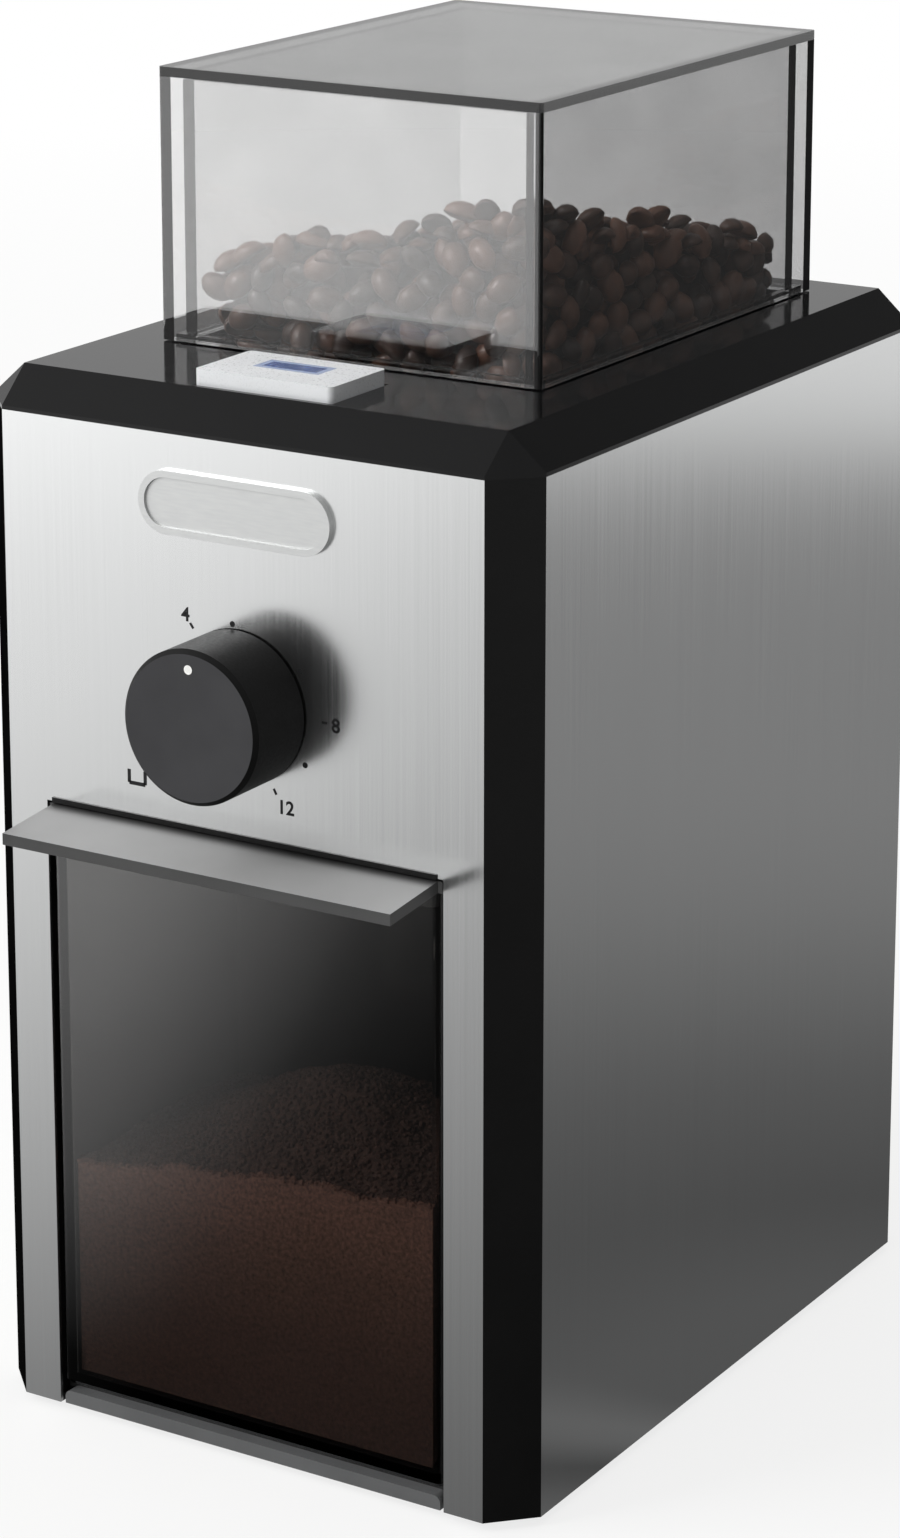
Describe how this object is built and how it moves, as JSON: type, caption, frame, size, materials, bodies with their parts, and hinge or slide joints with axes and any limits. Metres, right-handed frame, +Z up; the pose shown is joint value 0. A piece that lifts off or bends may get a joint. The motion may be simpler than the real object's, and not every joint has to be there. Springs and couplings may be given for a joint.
{
  "type": "burr coffee grinder",
  "caption": "Box-shaped burr coffee grinder: steel-clad housing, clear bean hopper under a lift-off hood, quantity knob, start button and a slide-out grounds container.",
  "frame": {"origin": "middle of the whole object's footprint, on the surface it stands on; the footprint includes the knob and the container's handle lip at the front", "axes": "+Z up; the front with the knob and container faces -Y; +X is to the right of someone facing the front"},
  "size_m": [0.13, 0.191, 0.281],
  "materials": {
    "black_plastic": "satin black moulded ABS",
    "gloss_black": "high-gloss black moulded ABS",
    "steel_sheet": "vertically brushed stainless steel",
    "badge_metal": "satin chromed pressing",
    "clear_plastic": "clear moulded styrene acrylonitrile",
    "smoked_plastic": "smoked clear moulded plastic",
    "grey_plastic": "light grey moulded plastic",
    "button_silver": "silver-white painted plastic",
    "button_blue": "blue moulded inset",
    "rubber": "soft black rubber",
    "hard_steel": "hardened and ground steel",
    "zinc_steel": "zinc-plated steel",
    "bronze": "sintered bronze",
    "white_nylon": "natural moulded nylon",
    "electric_steel": "stacked electrical steel sheets"
  },
  "bodies": {
    "housing": {"body_shell": "black_plastic", "front_panel": "steel_sheet", "left_side_panel": "steel_sheet", "right_side_panel": "steel_sheet", "base_plate": "black_plastic", "base_trim": "grey_plastic", "rubber_feet": "rubber", "rear_cover": "black_plastic", "cable_gland": "rubber", "top_cover": "gloss_black", "badge_plate": "badge_metal", "container_bay": "black_plastic", "timer_unit": "white_nylon", "start_switch": "black_plastic", "grind_chamber": "black_plastic", "grounds_chute": "black_plastic", "ring_retainer": "black_plastic", "gearbox_cover": "black_plastic", "gearbox_plate": "zinc_steel", "lower_spindle_bush": "bronze", "upper_spindle_bush": "bronze", "motor_can": "zinc_steel", "stator_core": "electric_steel", "upper_motor_bearing": "bronze", "lower_motor_bearing": "bronze", "safety_switch": "black_plastic", "terminal_block": "white_nylon"},
    "container": {"grounds_container": "smoked_plastic", "container_lid": "smoked_plastic"},
    "knob": {"timer_knob": "black_plastic", "knob_shaft": "white_nylon"},
    "button": {"start_button": "button_silver", "button_lens": "button_blue", "button_spring": "zinc_steel"},
    "hopper": {"bean_hopper": "clear_plastic"},
    "hood": {"hood_walls": "clear_plastic", "hood_plate": "smoked_plastic"},
    "grind_ring": {"adjust_ring": "black_plastic"},
    "fixed_burr": {"upper_burr": "hard_steel", "upper_burr_carrier": "black_plastic"},
    "turning_burr": {"lower_burr": "hard_steel", "burr_carrier": "white_nylon", "burr_spindle": "hard_steel", "burr_nut": "zinc_steel", "drive_gear": "white_nylon"},
    "rotor": {"rotor_core": "electric_steel", "motor_shaft": "hard_steel", "motor_pinion": "hard_steel", "cooling_fan": "white_nylon"},
    "plunger": {"safety_plunger": "white_nylon"}
  },
  "joints": [
    {"name": "container_slide", "type": "slide", "parent": "housing", "child": "container", "axis": [0, -1, 0], "range_m": [0, 0.09]},
    {"name": "knob_turn", "type": "hinge", "parent": "housing", "child": "knob", "pos_m": [0, -0.0785, 0.1627], "axis": [0, -1, 0], "range_deg": [-150, 38]},
    {"name": "button_press", "type": "slide", "parent": "housing", "child": "button", "axis": [0, 0, -1], "range_m": [0, 0.002], "stiffness_N_per_m": 500, "deforming": ["button_spring"]},
    {"name": "hopper_lift", "type": "slide", "parent": "housing", "child": "hopper", "axis": [0, 0, 1], "range_m": [0, 0.03]},
    {"name": "hood_lift", "type": "slide", "parent": "hopper", "child": "hood", "axis": [0, 0, 1], "range_m": [0, 0.06]},
    {"name": "ring_turn", "type": "hinge", "parent": "housing", "child": "grind_ring", "pos_m": [0, 0.0194, 0.194], "axis": [0, 0, 1], "range_deg": [-36, 36]},
    {"name": "burr_gap_slide", "type": "slide", "parent": "housing", "child": "fixed_burr", "axis": [0, 0, 1], "range_m": [-0.0006, 0.0006]},
    {"name": "burr_spin", "type": "hinge", "parent": "housing", "child": "turning_burr", "pos_m": [0, 0.0194, 0.164], "axis": [0, 0, 1], "continuous": true},
    {"name": "motor_spin", "type": "hinge", "parent": "housing", "child": "rotor", "pos_m": [0, 0.041, 0.124], "axis": [0, 0, 1], "continuous": true},
    {"name": "plunger_press", "type": "slide", "parent": "housing", "child": "plunger", "axis": [0, 1, 0], "range_m": [0, 0.002], "stiffness_N_per_m": 300}
  ],
  "couplings": [
    {"joint": "burr_gap_slide", "follows": "ring_turn", "m_per_rad": 0.000954},
    {"joint": "burr_spin", "follows": "motor_spin", "ratio": -0.33333}
  ]
}
